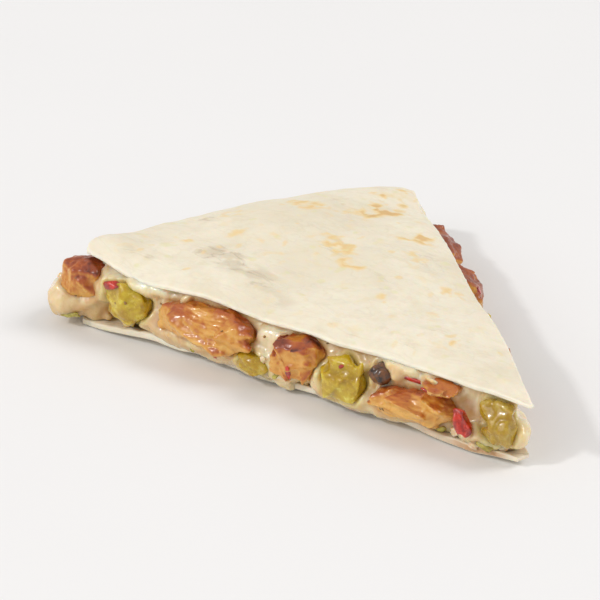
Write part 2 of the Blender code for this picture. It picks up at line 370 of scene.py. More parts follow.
class Shader:
    """A small helper that builds a node tree round one Principled BSDF."""

    def __init__(self, name, subsurface=None, coat=None, **sockets):
        """Subsurface as its weight, radii and scale in millimetres, coat as its weight and roughness."""
        if subsurface:
            keys = "Subsurface_Weight", "Subsurface_Radius", "Subsurface_Scale"
            sockets.update(zip(keys, (*subsurface[:2], subsurface[2] * MM)))
        if coat:
            sockets.update(Coat_Weight=coat[0], Coat_Roughness=coat[1])
        self.material = bpy.data.materials.new(name)
        self.material.use_nodes = True
        self.tree = self.material.node_tree
        self.bsdf = self.tree.nodes["Principled BSDF"]
        for key, value in sockets.items():
            self.bsdf.inputs[key.replace("_", " ")].default_value = value
        self.where = self.node("ShaderNodeTexCoord").outputs["Object"]

    def feed(self, socket, value):
        if isinstance(value, bpy.types.NodeSocket):
            self.tree.links.new(value, socket)
        else:
            socket.default_value = value

    def node(self, kind, inputs=(), **settings):
        made = self.tree.nodes.new(kind)
        for key, value in settings.items():
            setattr(made, key, value)
        for key, value in dict(inputs).items():
            self.feed(made.inputs[key], value)
        return made

    def attribute(self, name):
        return self.node("ShaderNodeAttribute", attribute_name=name).outputs["Fac"]

    def noise(self, size_mm, detail=3.0, roughness=0.55, stretch=(1, 1, 1), distortion=0.0):
        mapping = self.node("ShaderNodeMapping", {"Scale": stretch, "Vector": self.where})
        inputs = {
            "Vector": mapping.outputs[0],
            "Scale": 1000 / size_mm,
            "Detail": detail,
            "Roughness": roughness,
            "Distortion": distortion,
        }
        return self.node("ShaderNodeTexNoise", inputs).outputs["Fac"]

    def math(self, operation, a, b=0.0):
        return self.node("ShaderNodeMath", {0: a, 1: b}, operation=operation).outputs[0]

    def total(self, *terms):
        """The sum of sockets, each times its share."""
        first, *others = [self.math("MULTIPLY", value, share) for value, share in terms]
        for other in others:
            first = self.math("ADD", first, other)
        return first

    def varied(self, value, *noises):
        """A value shifted by noises, each times its share and counted from its middle, 0.5."""
        return self.total((value, 1), *noises, (1.0, -0.5 * sum(share for _, share in noises)))

    def between(self, value, low, high, out_low=0.0, out_high=1.0):
        span = {"From Min": low, "From Max": high, "To Min": out_low, "To Max": out_high}
        inputs = {"Value": value, **span}
        return self.node("ShaderNodeMapRange", inputs, interpolation_type="SMOOTHSTEP").outputs[0]

    def mix(self, share, a, b):
        a, b = [v if isinstance(v, bpy.types.NodeSocket) else srgb(v) for v in (a, b)]
        return self.node("ShaderNodeMix", {"Factor": share, 6: a, 7: b}, data_type="RGBA").outputs[2]

    def tint(self, base, colour, value, low, high, most, least=0.0):
        """A colour laid over a base, more of it as a value goes from low to high."""
        return self.mix(self.between(value, low, high, least, most), base, colour)

    def stops(self, value, *stops):
        """A run of colours: pairs of a position and an sRGB colour."""
        made = self.node("ShaderNodeValToRGB")
        elements = made.color_ramp.elements
        elements[0].position, elements[1].position = stops[0][0], stops[-1][0]
        for position, _ in stops[1:-1]:
            elements.new(position)
        for element, (_, colour) in zip(elements, stops):
            element.color = srgb(colour)
        self.feed(made.inputs[0], value)
        return made.outputs[0]

    def colour(self, value):
        self.feed(self.bsdf.inputs["Base Color"], value)

    def rough(self, value):
        self.feed(self.bsdf.inputs["Roughness"], value)

    def bump(self, height, distance_mm, strength):
        inputs = {"Strength": strength, "Distance": distance_mm * MM, "Height": height}
        self.feed(self.bsdf.inputs["Normal"], self.node("ShaderNodeBump", inputs).outputs[0])


def srgb(colour):
    c = np.array(colour) / 255
    return (*np.where(c <= 0.04045, c / 12.92, ((c + 0.055) / 1.055) ** 2.4), 1)


def tortilla_material(name, warm):
    sh = Shader(name, subsurface=(0.35, (1.0, 0.6, 0.35), 1.6), Specular_IOR_Level=0.35)
    toast = sh.attribute("toast")
    damp = sh.attribute("damp")
    broad = sh.noise(26, 3)
    fine = sh.noise(3.2, 4, 0.6)
    grain = sh.noise(0.9, 3, 0.6)
    base = sh.tint((230, 220, 198), (240, 231, 211), broad, 0.35, 0.65, 1.0)
    base = sh.tint(base, (224, 211, 184), fine, 0.3, 0.75, 0.35)
    base = sh.tint(base, (221, 209, 181), sh.noise(7, 4, 0.65), 0.46, 0.7, 0.38)
    base = sh.tint(base, (212, 198, 172), damp, 0.1, 1.0, 0.75)
    # Painted shade: thin darker lines along the wrinkles of the damp streaks, which the bump also sinks.
    wrinkle = sh.math("ABSOLUTE", sh.varied(0, (sh.noise(9, 3, 0.55, (0.5, 1.5, 1), 0.8), 1)))
    shaded_wrinkle_line = sh.between(wrinkle, 0.0, 0.03, 1, 0)
    shaded_wrinkle_line = sh.math("MULTIPLY", shaded_wrinkle_line, sh.between(damp, 0.05, 0.6, 0.1, 0.48))
    base = sh.mix(shaded_wrinkle_line, base, (190, 174, 146))
    base = sh.tint(base, (236, 219, 178), sh.noise(5.5, 2, 0.5), 0.62, 0.74, 0.4)
    toasted_and_shaded = sh.tint((235, 208, 155), (205, 152, 88), toast, 0.45, 1.0, 1.0)
    edge = sh.between(sh.total((toast, 1), (fine, 0.5)), 0.35, 0.85)
    base = sh.mix(sh.math("MULTIPLY", edge, sh.between(toast, 0.02, 0.3)), base, toasted_and_shaded)
    base = sh.mix(sh.math("MULTIPLY", sh.attribute("browned"), warm), base, (190, 138, 78))
    base = sh.tint(base, (222, 217, 160), sh.noise(4.5, 1), 0.66, 0.76, 0.4)
    # The cut edge and a thin strip beside it run paler: partly the dough's own paler inside, partly painted
    # highlight.
    pale_rim_and_highlight = sh.math("MULTIPLY", sh.attribute("edge"), sh.between(fine, 0.3, 0.7, 0.2, 0.7))
    sh.colour(sh.mix(pale_rim_and_highlight, base, (250, 243, 226)))
    sh.rough(sh.between(damp, 0, 1, 0.62, 0.36))
    sh.bump(sh.total((fine, 1), (grain, 0.35), (shaded_wrinkle_line, -1.2)), 0.3, 0.6)
    return sh.material


def cheese_material():
    sh = Shader("cheese", subsurface=(0.85, (1.0, 0.66, 0.34), 3.2), coat=(0.8, 0.08))
    broad = sh.noise(12, 3)
    pleats = sh.noise(3.4, 3, 0.6, stretch=(1, 1, 0.45))
    fine = sh.noise(1.6, 3, 0.6)
    # Painted light: the tones run paler where the cheese faces up and darker where it faces down.
    base = sh.stops(
        sh.total((broad, 0.5), (pleats, 0.3), (sh.attribute("upward"), 0.2)),
        (0.3, (196, 160, 98)),
        (0.42, (217, 187, 132)),
        (0.53, (234, 211, 166)),
        (0.65, (248, 236, 208)),
    )
    base = sh.tint(base, (200, 178, 104), sh.noise(6, 2), 0.54, 0.76, 0.45)
    base = sh.tint(base, (244, 234, 208), fine, 0.62, 0.8, 0.45)
    base = sh.mix(sh.attribute("juice"), base, (204, 142, 74))
    base = sh.mix(sh.attribute("green"), base, (200, 178, 84))
    # Painted shade: brown where the foot of the cheese is marked.
    base = sh.mix(sh.attribute("browned"), base, (170, 112, 58))
    sh.colour(base)
    sh.rough(sh.between(sh.noise(3.4, 3), 0.3, 0.7, 0.2, 0.42))
    sh.bump(sh.total((pleats, 1.2), (fine, 0.5)), 0.3, 0.5)
    return sh.material


def chicken_material():
    sh = Shader("chicken", subsurface=(0.22, (1.0, 0.5, 0.2), 1.2), coat=(0.5, 0.14))
    fibre = sh.attribute("fibre")
    fine = sh.noise(1.1, 3, 0.65)
    mottle = sh.noise(2.6, 3, 0.6)
    broad = sh.noise(6.0, 3, 0.55)
    tone = sh.varied(sh.attribute("sear"), (broad, 0.4), (mottle, 0.26), (fine, 0.2))
    tone = sh.math("ADD", tone, sh.between(fibre, 0.45, 0.1, 0.04, 0.14))
    base = sh.stops(
        tone,
        (0.0, (228, 175, 87)),
        (0.2, (211, 145, 55)),
        (0.42, (191, 113, 35)),
        (0.62, (172, 84, 28)),
        (0.82, (136, 56, 20)),
        (1.0, (68, 24, 10)),
    )
    sh.colour(base)
    sh.rough(sh.between(fine, 0.3, 0.7, 0.26, 0.5))
    sh.bump(sh.total((fibre, 0.8), (mottle, 1.1), (fine, 0.6)), 0.2, 0.6)
    return sh.material


def chile_material():
    wet = {"subsurface": (0.8, (1.0, 0.85, 0.2), 2.0), "coat": (0.9, 0.07)}
    sh = Shader("green_chile", **wet, Transmission_Weight=0.1, IOR=1.38)
    broad = sh.noise(4.2, 3)
    fine = sh.noise(1.2, 3, 0.6)
    tone = sh.varied(broad, (fine, 0.5))
    # Painted shade: darker where the chile's skin dips in.
    tone = sh.math("ADD", tone, sh.between(sh.attribute("fibre"), 0.5, 0.15, 0, -0.08))
    base = sh.stops(
        tone,
        (0.24, (178, 140, 12)),
        (0.41, (194, 160, 20)),
        (0.57, (210, 184, 42)),
        (0.73, (236, 224, 112)),
    )
    # Partly the chile's own browning, partly painted shade: pieces marked for it turn olive-brown in
    # patches.
    browned = sh.math("MULTIPLY", sh.attribute("browned"), sh.between(broad, 0.35, 0.65, 0.5, 1))
    sh.colour(sh.mix(browned, base, (150, 96, 30)))
    sh.rough(sh.between(fine, 0.3, 0.7, 0.14, 0.32))
    sh.bump(fine, 0.14, 0.5)
    return sh.material


def bit_material(name, dark, light, size_mm, roughness=(0.15, 0.35), subsurface=0.5, coat=0.5):
    sh = Shader(name, subsurface=(subsurface, (1.0, 0.6, 0.3), 1.2), coat=(coat, 0.12))
    fine = sh.noise(size_mm, 3, 0.6)
    sh.colour(sh.tint(dark, light, fine, 0.3, 0.7, 1.0))
    sh.rough(sh.between(fine, 0.3, 0.7, *roughness))
    sh.bump(fine, 0.15, 0.5)
    return sh.material


# The tortillas

TOP_THICKNESS = 1.5 * MM
BOTTOM_THICKNESS = 1.75 * MM
LEAST_THICKNESS = 0.75 * MM
ROUNDING = 0.3 * MM
ROUNDING_REACH = 0.8 * MM
PUFFS = 34
PATCH_RADIUS_MM = 122
# How much closer the grid's lines lie near the rim and near the sides
RIM_CROWDING = 1.25
SIDE_CROWDING = 0.085
# Rings of points on the cut edge: share of its height, and how far it bulges there in millimetres
EDGE_RINGS = ((0.8, 0.08), (0.45, 0.1), (0.15, 0.04))
# Toasted patches: distance from the tip along the front side, distance in from it, half length, half
# width, turn in degrees, strength
TOAST = (
    (76, 38, 9, 4.5, 10, 0.6),
    (70, 33, 4.5, 2.6, 30, 0.65),
    (100, 31, 5.5, 3.2, 15, 0.5),
    (88, 26, 4, 2.5, 0, 0.4),
    (110, 20, 3, 1.8, 10, 0.5),
    (52, 21, 2.6, 1.6, 20, 0.55),
    (55, 9, 3, 2, 0, 0.25),
    (28, 8, 6, 1.2, 10, 0.3),
    (84, 66, 9, 5, -50, 0.75),
    (99, 56, 6, 4, -20, 0.6),
    (66, 56, 7, 3.5, -40, 0.7),
    (58, 44, 5, 2.8, 10, 0.5),
    (88, 80, 7, 3.5, -70, 0.7),
    (110, 44, 4, 7, 10, 0.45),
    (44, 33, 5, 2.5, -45, 0.55),
    (82, 51, 4, 2.5, 35, 0.5),
    (120, 16, 3, 2, 0, 0.3),
    (90, 12, 3, 2, 0, 0.2),
    (40, 20, 3, 2, 30, 0.25),
)
# Damp, slightly see-through streaks and creases: ends, half width, strength and depth of the crease
DAMP = (
    ((104, 21), (88, 15), 3.2, 0.9, 0.22),
    ((94, 17), (76, 11), 3.4, 0.85, 0.2),
    ((84, 11), (66, 6), 2.4, 0.6, 0.16),
    ((47, 9), (31, 5), 0.8, 0.7, 0.4),
    ((57, 6), (46, 3), 0.9, 0.4, 0.3),
    ((118, 30), (110, 44), 2.4, 0.5, 0.15),
    ((64, 31), (46, 22), 2.0, 0.4, 0.16),
    ((108, 9), (120, 7), 2.0, 0.6, 0.12),
    ((90, 46), (72, 35), 2.6, 0.45, 0.18),
    ((100, 66), (88, 56), 2.6, 0.4, 0.18),
    ((36, 15), (24, 10), 1.6, 0.35, 0.14),
    ((60, 50), (50, 40), 2.0, 0.4, 0.16),
)


def patch_strengths(x, y, patches, rough_noise):
    """The strength of toast at each point: clusters of small spots with uneven edges."""
    total = np.zeros(len(x))
    points = flat_points(x, y)
    ragged = rough_noise.layered(points, 3.6 * MM, 3)
    spots = 0.35 + 0.65 * ramp(-0.25, 0.35, rough_noise.layered(points + 3 * MM, 2.4 * MM, 2))
    for along, inward, half_length, half_width, turn, strength in patches:
        a = math.radians(turn)
        dx, dy = -x / MM - along, y / MM - inward
        u = (dx * math.cos(a) + dy * math.sin(a)) / half_length
        v = (dy * math.cos(a) - dx * math.sin(a)) / half_width
        away = np.sqrt(u * u + v * v) + 0.75 * ragged
        size = 1.0 if half_length < 2.5 else spots
        total = np.maximum(total, strength * ramp(1.55, 0.35, away) * size)
    return total


def streak_strengths(x, y, streaks, rough_noise):
    """How damp each point is, and how deep the fine wrinkles in the damp streaks are."""
    damp, crease = np.zeros(len(x)), np.zeros(len(x))
    points = flat_points(x, y)
    broken = 0.3 + 0.7 * ramp(-0.3, 0.3, rough_noise.layered(points, 3.2 * MM, 3))
    for (x0, y0), (x1, y1), half_width, strength, depth in streaks:
        dx, dy = x1 - x0, y1 - y0
        length = math.hypot(dx, dy)
        px, py = -x / MM - x0, y / MM - y0
        share = (px * dx + py * dy) / length**2
        across = (py * dx - px * dy) / length
        share_in = np.clip(share, 0, 1)
        away = np.hypot(px - share_in * dx, py - share_in * dy)
        fade = np.minimum(1, 4 * np.minimum(share_in, 1 - share_in) + 0.2)
        here = strength * fade * ramp(2.4, 0.2, away / half_width) * broken
        damp = np.maximum(damp, here)
        fine = np.stack([share * length * 0.28, across, np.zeros(len(x))], 1) * MM
        wrinkle = 1 - 2.4 * np.abs(rough_noise.layered(fine, 1.5 * MM, 2))
        crease += depth * fade * ramp(2.0, 0.4, away / half_width) * np.clip(wrinkle, -0.3, 1)
    return damp, crease


def sheet_plan(cells, margin, seed, tip):
    """A grid of points over a sheet's plan, their numbers, and the numbers along its border."""
    rows, columns = cells
    points = []
    for i in range(rows + 1):
        along = 1 - (1 - i / rows) ** RIM_CROWDING
        for j in range(columns + 1):
            across = j / columns
            across -= SIDE_CROWDING * math.sin(2 * math.pi * across)
            points.append(edge_point(along, across, margin, seed, tip)[:2])
    grid = np.arange(len(points)).reshape(rows + 1, columns + 1)
    border = np.concatenate([grid[:-1, 0], grid[-1, :-1], grid[:0:-1, -1], grid[0, :0:-1]])
    return np.array(points).T, grid, border


def edge_rings(x, y, low, high, border, seed):
    """Rings of points down the cut edge, which bulges unevenly."""
    following = np.roll(border, -1)
    outward = np.stack([y[following] - y[border], x[border] - x[following]], 1)
    outward = outward / np.maximum(np.linalg.norm(outward, axis=1)[:, None], 1e-9)
    outward = -(outward + np.roll(outward, 1, 0)) / 2
    uneven = Noise(seed + 40)
    rings = []
    for level, bulge in EDGE_RINGS:
        lift = low[border] + level * (high[border] - low[border])
        ring = np.column_stack([x[border], y[border], lift])
        ring[:, :2] += outward * MM * (bulge + 0.12 * uneven(ring, 1.1 * MM))[:, None]
        rings.append(ring)
    return rings


def tortilla(node, underside, cells, margin, seed, relief, tip):
    """A sheet with the CAD sheet's outline, thickened upwards, with a rounded cut edge."""
    (x, y), grid, border = sheet_plan(cells, margin, seed, tip)
    inside = nearest_border(x, y, border)
    low, thick, tones = relief(x, y, underside(x, y), inside)
    rounding = ROUNDING * eased(inside / ROUNDING_REACH)
    low = low + 0.5 * rounding
    high = low + thick - rounding
    rings = edge_rings(x, y, low, high, border, seed)
    vertices = np.concatenate([np.column_stack([x, y, high]), np.column_stack([x, y, low]), *rings])
    quads = np.stack([grid[:-1, :-1], grid[1:, :-1], grid[1:, 1:], grid[:-1, 1:]], -1)
    quads = quads.reshape(-1, 4)[:, ::-1]
    size, around = len(x), np.arange(len(border))
    loops = [border, *[2 * size + k * len(border) + around for k in range(len(rings))], border + size]
    strips = [
        np.stack([lower, np.roll(lower, -1), np.roll(upper, -1), upper], 1)
        for upper, lower in zip(loops, loops[1:])
    ]
    mesh = mesh_of(node + "_look", vertices, np.concatenate([quads, quads[:, ::-1] + size, *strips]))
    for key, (above, under, rim) in tones.items():
        paint(mesh, key, np.concatenate([above, under, np.tile(rim[border], len(rings))]))
    face_outward(mesh)
    place(node + "_look", mesh, MATERIALS[node], node)


def nearest_border(x, y, border):
    """How far each grid point is from the sheet's own edge, up to a few millimetres."""
    tree = KDTree(len(border))
    for k, i in enumerate(border):
        tree.insert((x[i], y[i], 0), k)
    tree.balance()
    return np.array([tree.find((a, b, 0))[2] for a, b in zip(x, y)])


def face_outward(mesh):
    bm = bmesh.new()
    bm.from_mesh(mesh)
    bmesh.ops.recalc_face_normals(bm, faces=bm.faces)
    bm.to_mesh(mesh)
    bm.free()
    mesh.shade_smooth()


def top_relief(x, y, low, inside):
    """Height, thickness and tones of the top tortilla."""
    points = flat_points(x, y)
    lumps = Noise(3)
    toast = patch_strengths(x, y, [*TOAST, *scattered_patches(70, 22, 0.42, (0.7, 2.0))], Noise(8))
    damp, crease = streak_strengths(x, y, DAMP, Noise(9))
    swell = 0.45 * MM * lumps.layered(points, 12 * MM, 2)
    skin = 0.14 * MM * lumps.layered(points + 1, 3.4 * MM, 3)
    puffs = np.zeros(len(x))
    rng = np.random.RandomState(5)
    for _ in range(PUFFS):
        centre = plan(RADIUS * math.sqrt(rng.uniform(0.05, 0.96)), rng.uniform(0.05, 0.95) * ANGLE)
        size = rng.uniform(1.6, 4.5) * MM
        away = np.hypot(x - centre.x, y - centre.y) / size
        puffs = np.maximum(puffs, rng.uniform(0.15, 0.4) * ramp(1.3, 0.2, away))
    blister = 0.3 * toast + puffs
    low = low + swell
    thick = TOP_THICKNESS + skin + MM * (0.5 * blister - crease) + 0.1 * MM * lumps(points, 7 * MM)
    thick -= 0.55 * MM * eased(inside / (6 * MM))
    thick = np.maximum(thick, LEAST_THICKNESS)
    none = np.zeros(len(x))
    edge_browned = 0.35 * ramp(0.55, 0.9, 0.5 + 0.5 * lumps(points, 9 * MM))
    return low, thick, {
        "toast": (np.clip(toast + 0.25 * ramp(0.3, 0.4, puffs), 0, 1), none, none),
        "damp": (damp, none + 0.6, none),
        "browned": (none, none, edge_browned * 0.3),
        "edge": (ramp(0.7 * MM, 0.1 * MM, inside), none, none + 1),
    }


def bottom_relief(x, y, low, inside):
    """The same for the bottom tortilla, whose edge waves and whose tip is thin."""
    points = flat_points(x, y)
    lumps = Noise(13)
    wave = 0.5 * MM * eased(inside / (6 * MM)) * (1 + lumps(points, 8 * MM))
    thick = BOTTOM_THICKNESS + 0.12 * MM * lumps.layered(points, 4 * MM, 2)
    thick -= 0.9 * MM * eased(np.hypot(x, y) / (14 * MM))
    under = patch_strengths(x, y, scattered_patches(42, 21, 0.95, (2.5, 9)), Noise(18))
    none = np.zeros(len(x))
    browned = ramp(0.1, 0.7, lumps(points + 3, 12 * MM))
    return low + wave, thick, {
        "toast": (none, under, none),
        "damp": (none + 0.6, none, none),
        "browned": (none, none, browned),
        "edge": (none, none, none + 0.4),
    }


def scattered_patches(count, seed, strength, length):
    """Toasted patches strewn over a sheet, in the form of TOAST's entries."""
    rng = np.random.RandomState(seed)
    made = []
    for _ in range(count):
        radius = PATCH_RADIUS_MM * math.sqrt(rng.uniform(0.03, 0.95))
        angle = rng.uniform(0.06, 0.94) * ANGLE
        half = rng.uniform(*length), rng.uniform(0.8 * length[0], 0.55 * length[1])
        turn, share = rng.uniform(0, 180), rng.uniform(0.5, 1)
        made.append((radius * math.cos(angle), radius * math.sin(angle), *half, turn, strength * share))
    return made


# The chicken, chile and other pieces

CHICKEN_VOXEL = 0.34 * MM
SOFT_VOXEL = 0.3 * MM
# How much of a piece's length one lump takes up to each side, and how many points span it
LOBE_REACH = 0.3
LOBE_POINTS = 8
# Pieces drawn out along a slant: the way, how much longer and how much thinner
PEPPER_LEAN = ((0.5, 0, -0.8), 1.35, 0.8)
RIM_CHILE_LEAN = ((0.5, 0.5, 1), 1.15, 0.9)


def node_points(name):
    """The points of a CAD solid, in the wedge's local frame."""
    return positions(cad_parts[name].data) - np.array(APEX)


def spread_sample(points, count, rng):
    """Points far apart from each other, picked one by one."""
    chosen = [points[rng.randint(len(points))]]
    away = np.linalg.norm(points - chosen[0], axis=1)
    for _ in range(count - 1):
        k = int(np.argmax(away * rng.uniform(0.75, 1, len(points))))
        chosen.append(points[k])
        away = np.minimum(away, np.linalg.norm(points - points[k], axis=1))
    return np.array(chosen)


def hull_into(bm, points):
    made = [bm.verts.new(p) for p in points]
    result = bmesh.ops.convex_hull(bm, input=made)
    loose = {*result["geom_interior"], *result["geom_unused"]}
    bmesh.ops.delete(bm, geom=[v for v in loose if isinstance(v, bmesh.types.BMVert)], context="VERTS")


def remeshed(name, bm, voxel):
    """One even skin round overlapping lumps."""
    obj = shown_as(name, mesh_from(bm, name))
    even = obj.modifiers.new("even", "REMESH")
    even.mode = "VOXEL"
    even.voxel_size = voxel
    mesh = evaluated(obj).data
    bpy.data.objects.remove(obj)
    corners = read(mesh.loops, "vertex_index", 1, np.int32)
    return mesh_of(name, *largest_part(positions(mesh), corners.reshape(-1, 4)))


def main_axes(points):
    centre = points.mean(0)
    _, _, axes = np.linalg.svd(points - centre, full_matrices=False)
    return centre, axes


def outward_of(points):
    """The way a piece faces: out of the side of the wedge it is nearest to."""
    x, y = points.mean(0)[:2]
    sides = {
        0: y,
        BACK_END: -x * math.sin(ANGLE) - y * math.cos(ANGLE),
        FRONT_END + 0.5 * RADIUS * ANGLE: RADIUS - math.hypot(x, y),
    }
    nearest = min(sides, key=sides.get)
    if FRONT_END < nearest < RIM_END:
        nearest = FRONT_END + RADIUS * math.atan2(y, -x)
    return np.array(edge_place(nearest)[2])


def chunk_mesh(node, count, seed, swell, push, voxel, lobes, stretch=None):
    """A cut piece: overlapping many-sided lumps spanned between the solid's own points.

    Comes with the function that turns places into ones along the piece's own axes.
    """
    rng = np.random.RandomState(seed)
    points = node_points(node)
    points = points + push * MM * outward_of(points)
    centre, axes = main_axes(points)
    if stretch:
        way, long, thin = stretch
        way = np.array(way) / np.linalg.norm(way)
        along = ((points - centre) @ way)[:, None] * way
        points = centre + long * along + thin * (points - centre - along)
    bm = bmesh.new()
    hull_into(bm, centre + swell * (spread_sample(points, count, rng) - centre))
    along = (points - centre) @ axes[0]
    for k in range(lobes):
        middle = np.quantile(along, (k + 0.5) / lobes)
        around = np.abs(along - middle) < LOBE_REACH * np.ptp(along)
        part = spread_sample(points[around], LOBE_POINTS, rng)
        middle = part.mean(0)
        away = rng.normal(0, 0.5 * MM, 3)
        hull_into(bm, middle + swell * rng.uniform(1.0, 1.14) * (part - middle) + away)
    mesh = remeshed(node + "_look", bm, voxel)
    return mesh, lambda co: (co - centre) @ axes.T


def under_sheet(co, proud=1.0):
    """Keeps a piece from pushing through the top tortilla, or far above the sheet's edge."""
    inward = edge_distances(co[:, 0], co[:, 1])
    beyond = np.clip(-inward, 0, 9 * MM)
    droop = 0.6 if proud < 2 else 0
    lift = proud * MM * ramp(-1 * MM, -3 * MM, inward) - droop * beyond
    limit = CEILING(co[:, 0], co[:, 1]) + 0.1 * MM + lift
    co[:, 2] = smooth_min(co[:, 2], limit, 0.4 * MM)


def chicken(node, seed, sear_way=(0, -0.35, 1), sear=0.6, count=14, lobes=3, proud=1.0):
    """Grilled chicken: cut faces, fibres along the piece, ragged ends and a seared side."""
    mesh, along_piece = chunk_mesh(node, count, seed, 1.06, 0.7, CHICKEN_VOXEL, lobes)
    relax(mesh, 4)
    grain, lumps = Noise(seed), Noise(seed + 1)
    co = positions(mesh)
    q = along_piece(co)
    length = np.abs(q[:, 0]).max()
    bent = q.copy()
    bent[:, 1] += 1.2 * MM * lumps(q, 6 * MM)
    strands = grain.layered(bent / np.array([3.6, 1.0, 1.0]), 1.3 * MM, 2)
    ridge = 1 - np.abs(strands) * 2.2
    ends = ramp(0.55, 1.0, np.abs(q[:, 0]) / length)
    torn = grain.layered(q + 5 * MM, 2.0 * MM, 3)
    billow = np.abs(lumps.layered(q + 2 * MM, 3.6 * MM, 2))
    move = 0.6 * lumps.layered(q, 5.2 * MM, 2) + 0.2 * (billow - 0.25)
    move += 0.12 * torn - 0.2 * np.clip(ridge, 0, 1) ** 2 + 0.45 * ends * torn
    co += normals(mesh) * (MM * move)[:, None]
    under_sheet(co, proud)
    set_positions(mesh, co)
    way = np.array(sear_way, float)
    way /= np.linalg.norm(way)
    facing = normals(mesh) @ way
    mask = facing + 0.5 * lumps.layered(q, 5 * MM, 3)
    seared = 0.85 * ramp(0.05, 1.15, mask) + 0.12 * np.clip(lumps.layered(q + 9 * MM, 3 * MM, 2), 0, 1)
    # Painted shade: a little darker along the creases of the surface.
    crease_shade = ramp(0.12, 0.0, billow) * 0.12
    paint(mesh, "sear", np.clip(seared * (0.3 + 0.8 * sear) + crease_shade, 0, 1))
    paint(mesh, "fibre", 0.5 + 0.5 * strands)
    return place(node + "_look", mesh, MATERIALS["chicken"], node)


def soft_piece(
    node, seed, material, swell=1.08, lumps_mm=0.4, count=12, push=0.6, lobes=2, stretch=None,
    groove=0.0, browned=0.0,
):
    """Soft cooked chile or pepper: smooth, folded and wet."""
    mesh, along_piece = chunk_mesh(node, count, seed, swell, push, SOFT_VOXEL, lobes, stretch)
    relax(mesh, 9)
    lumps = Noise(seed + 7)
    co = positions(mesh)
    q = along_piece(co)
    veins = lumps.layered(q / np.array([3.0, 1.0, 1.4]), 1.5 * MM, 2)
    cells = np.abs(1.3 * lumps.layered(q / np.array([1.3, 1, 1]) + 3 * MM, 5.2 * MM, 3))
    move = lumps_mm * (2.2 * np.clip(cells, 0, 0.4) - 0.5) + 0.2 * lumps(q, 2.6 * MM) + 0.05 * veins
    length, width = np.abs(q).max(0)[:2]
    outer = ramp(0, 0.8, normals(mesh) @ outward_of(co)) * ramp(1, 0.7, np.abs(q[:, 0]) / length)
    move -= groove * outer * np.exp(-((q[:, 1] / (0.4 * width)) ** 2))
    co += normals(mesh) * (MM * move)[:, None]
    under_sheet(co)
    set_positions(mesh, co)
    relax(mesh, 1)
    # For the chile this is painted shade: low where the skin dips in, which its material darkens.
    paint(mesh, "fibre", np.clip(0.2 + 1.8 * cells + 0.2 * veins, 0, 1))
    # Partly the piece's own browning, partly painted shade: how much olive-brown its material lays on.
    paint(mesh, "browned", np.full(len(co), browned))
    return place(node + "_look", mesh, MATERIALS[material], node)


# The cheese

# Lumps of cheese: distance round the edge, height, how far out from the edge, half sizes along, out
# and up, all in millimetres
LUMPS = (
    (128.5, 6.2, 1.6, 8.5, 6.0, 5.2),
    (134, 6.0, -1.0, 7, 5, 4.6),
    (122, 7.5, -1.2, 4.2, 3.4, 6.5),
    (117, 12.0, -1.8, 6, 3.4, 4.5),
    (105, 14.8, -0.9, 6.5, 2.2, 1.6),
    (104, 5.4, -1.2, 4.5, 2.6, 2.6),
    (95, 4.4, -1.0, 9, 2.8, 3.0),
    (84, 4.6, -0.6, 8, 2.8, 3.2),
    (76, 4.0, -0.5, 5, 2.6, 3.2),
    (69, 8.5, -1.4, 4, 2.6, 6.0),
    (64, 3.8, -0.3, 5, 2.8, 3.2),
    (54, 5.0, -0.8, 3.4, 2.6, 4.5),
    (44, 3.6, -0.2, 7, 2.6, 2.6),
    (36, 4.5, -0.8, 5, 2.6, 3.0),
    (34, 14.4, -1.2, 4, 2.0, 2.0),
    (14, 3.8, -0.8, 5, 2.4, 2.4),
)
# Hollows in it: the same numbers
HOLLOWS = (
    (115.5, 4.0, 1.0, 2.6, 6, 2.2),
    (108.5, 3.0, 1.0, 3.6, 7, 2.2),
    (59.0, 3.4, 2.0, 3.0, 3.5, 1.6),
    (24.0, 12.6, 0.8, 2.0, 3.0, 1.4),
    (91.0, 16.0, 0.6, 4.0, 3.0, 1.2),
)
# Strands across the hollows: distance, height and how far out at both ends, and thickness
STRANDS = (
    ((112.2, 8.0, -0.8), (111.6, 3.4, -1.0), 0.9),
    ((119.0, 7.0, -0.6), (118.0, 3.2, -0.8), 0.7),
    ((60.5, 6.0, -0.4), (58.0, 1.8, 0.2), 0.5),
    ((25.0, 14.4, -0.8), (23.5, 10.5, 0.2), 0.4),
    ((92.5, 16.8, -1.0), (93.5, 13.5, 0.2), 0.4),
)


def scattered_lumps(start, end, count, seed, hollow=False):
    """Lumps or hollows strewn along the edge, in the form of the entries above."""
    rng = np.random.RandomState(seed)
    made = []
    for k in range(count):
        distance = start + (end - start) * (k + rng.uniform(0, 1)) / count
        if hollow:
            sizes = rng.uniform(1.8, 4.5), rng.uniform(1.8, 3.2), rng.uniform(0.9, 2.0)
            made.append((distance, rng.uniform(2.5, 12), 1.2, *sizes))
        else:
            sizes = rng.uniform(3, 8), rng.uniform(2.2, 3.2), rng.uniform(2.4, 5)
            made.append((distance, rng.uniform(3, 12), rng.uniform(-1.8, -0.4), *sizes))
    return made


STEP = 0.42 * MM
CHEESE_BOX = ((-139, -8, 0), (2, 98, 23))
TABLE_GAP = 0.4 * MM
# The cheese climbs a piece as a fillet of this width, this many times as thick. The fillet is worked
# out this near the cheese's own surface, and a piece counts as this far off where none is found
CREEP_WIDTH = 3.4 * MM
CREEP_ON_CHICKEN = 1.15
CREEP_ON_SOFT = 1.4
CREEP_NEAR = 3 * MM
CREEP_FAR = 9 * MM
# Strewn lumps keep this far from the pieces, and tones fade out this far from them
LUMP_GAP = 2.6 * MM
TONE_REACH = 2 * MM
# Deeper in than this, where nothing is seen, the mesh keeps about this share of its faces
SEEN_DEPTH = 5 * MM
FACES_KEPT = 0.6


def at_edge(distance, height, outward):
    """A place by its distance round the edge, height and distance out, all in millimetres."""
    at, _, normal = edge_place(distance * MM)
    return np.array(at + normal * outward * MM + Vector((0, 0, height * MM)))


